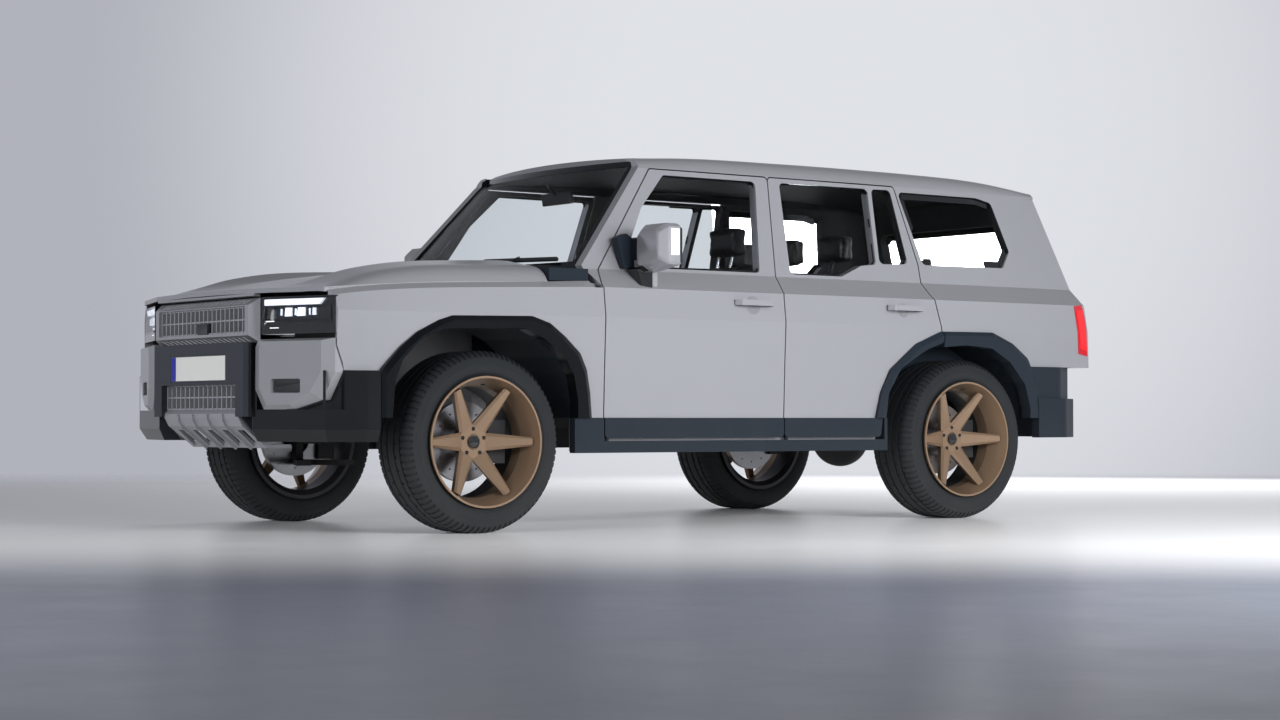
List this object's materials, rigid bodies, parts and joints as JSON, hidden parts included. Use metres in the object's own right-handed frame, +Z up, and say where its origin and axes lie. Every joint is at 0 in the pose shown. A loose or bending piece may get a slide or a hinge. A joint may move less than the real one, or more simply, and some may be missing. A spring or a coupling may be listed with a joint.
{
  "type": "off-road estate car",
  "caption": "Boxy family off-road estate with hinged doors, bonnet and tailgate, steered front wheels and a separate ladder frame.",
  "frame": {"origin": "on the ground at mid length, midway between the wheels across", "axes": "+X forward, +Y to the vehicle's left, +Z up"},
  "size_m": [4.82, 2.234, 1.7626],
  "materials": {
    "body_paint": "satin silver-grey paint",
    "glass": "clear, slightly grey",
    "dark_plastic": "fine grain",
    "gloss_plastic": "gloss black",
    "lamp": "gloss black housing",
    "red_lamp": "gloss red lens",
    "skid_metal": "satin",
    "tyre": "matte",
    "rim": "satin bronze paint",
    "iron": "turned face",
    "black_metal": "satin black paint",
    "engine_metal": "as cast",
    "trim": "grained",
    "cabin_plastic": "soft touch"
  },
  "bodies": {
    "car": {"arch_flares": "dark_plastic", "chassis_frame": "black_metal", "cowl": "dark_plastic", "cross_members": "black_metal", "dashboard": "cabin_plastic", "driveline": "engine_metal", "engine": "engine_metal", "exhaust": "engine_metal", "fixed_glass": "glass", "floor_pan": "dark_plastic", "front_bumper": "gloss_plastic", "front_panels": "body_paint", "front_seats": "trim", "fuel_tank": "black_metal", "grilles": "skid_metal", "headlamps": "lamp", "rear_axle": "black_metal", "rear_bumper": "dark_plastic", "rear_seats": "trim", "roof": "body_paint", "side_left": "body_paint", "side_right": "body_paint", "sills": "dark_plastic", "skid_plate": "skid_metal", "suspension": "black_metal", "tail_lamps": "red_lamp", "wing_left": "body_paint", "wing_right": "body_paint"},
    "front_door_left": {"door_front_left": "body_paint", "door_glass_front_left": "glass", "door_clad_front_left": "dark_plastic", "mirror_left": "body_paint"},
    "front_door_right": {"door_front_right": "body_paint", "door_glass_front_right": "glass", "door_clad_front_right": "dark_plastic", "mirror_right": "body_paint"},
    "rear_door_left": {"door_rear_left": "body_paint", "door_glass_rear_left": "glass", "door_clad_rear_left": "dark_plastic"},
    "rear_door_right": {"door_rear_right": "body_paint", "door_glass_rear_right": "glass", "door_clad_rear_right": "dark_plastic"},
    "bonnet_lid": {"bonnet": "body_paint"},
    "tail_door": {"tailgate": "body_paint", "tailgate_glass": "glass"},
    "steering": {"steering_wheel": "cabin_plastic"},
    "front_hub_left": {"knuckle_left": "black_metal"},
    "front_hub_right": {"knuckle_right": "black_metal"},
    "wheel_front_left": {"tyre_front_left": "tyre", "rim_front_left": "rim", "disc_front_left": "iron"},
    "wheel_front_right": {"tyre_front_right": "tyre", "rim_front_right": "rim", "disc_front_right": "iron"},
    "wheel_rear_left": {"tyre_rear_left": "tyre", "rim_rear_left": "rim", "disc_rear_left": "iron"},
    "wheel_rear_right": {"tyre_rear_right": "tyre", "rim_rear_right": "rim", "disc_rear_right": "iron"}
  },
  "joints": [
    {"name": "front_door_left_hinge", "type": "hinge", "parent": "car", "child": "front_door_left", "pos_m": [0.84989, 0.945, 0.78], "axis": [0, 0, -1], "range_deg": [0, 68]},
    {"name": "front_door_right_hinge", "type": "hinge", "parent": "car", "child": "front_door_right", "pos_m": [0.84989, -0.945, 0.78], "axis": [0, 0, 1], "range_deg": [0, 68]},
    {"name": "rear_door_left_hinge", "type": "hinge", "parent": "car", "child": "rear_door_left", "pos_m": [-0.19492, 0.945, 0.78], "axis": [0, 0, -1], "range_deg": [0, 68]},
    {"name": "rear_door_right_hinge", "type": "hinge", "parent": "car", "child": "rear_door_right", "pos_m": [-0.19492, -0.945, 0.78], "axis": [0, 0, 1], "range_deg": [0, 68]},
    {"name": "bonnet_hinge", "type": "hinge", "parent": "car", "child": "bonnet_lid", "pos_m": [1.15, 0, 1.205], "axis": [0, -1, 0], "range_deg": [0, 55]},
    {"name": "tailgate_hinge", "type": "hinge", "parent": "car", "child": "tail_door", "pos_m": [-2.0304, 0, 1.706], "axis": [0, 1, 0], "range_deg": [0, 82]},
    {"name": "steer_left", "type": "hinge", "parent": "car", "child": "front_hub_left", "pos_m": [1.515, 0.716, 0.395], "axis": [0, 0, 1], "range_deg": [-33, 33]},
    {"name": "steer_right", "type": "hinge", "parent": "car", "child": "front_hub_right", "pos_m": [1.515, -0.716, 0.395], "axis": [0, 0, 1], "range_deg": [-33, 33]},
    {"name": "steering_wheel_turn", "type": "hinge", "parent": "car", "child": "steering", "pos_m": [0.4605, 0.4, 1.088], "axis": [-0.9135, 0, 0.4067], "range_deg": [-482, 482]},
    {"name": "front_left_wheel_spin", "type": "hinge", "parent": "front_hub_left", "child": "wheel_front_left", "pos_m": [1.515, 0.81, 0.395], "axis": [0, 1, 0], "continuous": true},
    {"name": "front_right_wheel_spin", "type": "hinge", "parent": "front_hub_right", "child": "wheel_front_right", "pos_m": [1.515, -0.81, 0.395], "axis": [0, 1, 0], "continuous": true},
    {"name": "rear_left_wheel_spin", "type": "hinge", "parent": "car", "child": "wheel_rear_left", "pos_m": [-1.335, 0.81, 0.395], "axis": [0, 1, 0], "continuous": true},
    {"name": "rear_right_wheel_spin", "type": "hinge", "parent": "car", "child": "wheel_rear_right", "pos_m": [-1.335, -0.81, 0.395], "axis": [0, 1, 0], "continuous": true}
  ],
  "couplings": [
    {"joint": "steer_right", "follows": "steer_left", "ratio": 1},
    {"joint": "steering_wheel_turn", "follows": "steer_left", "ratio": 14.6}
  ]
}
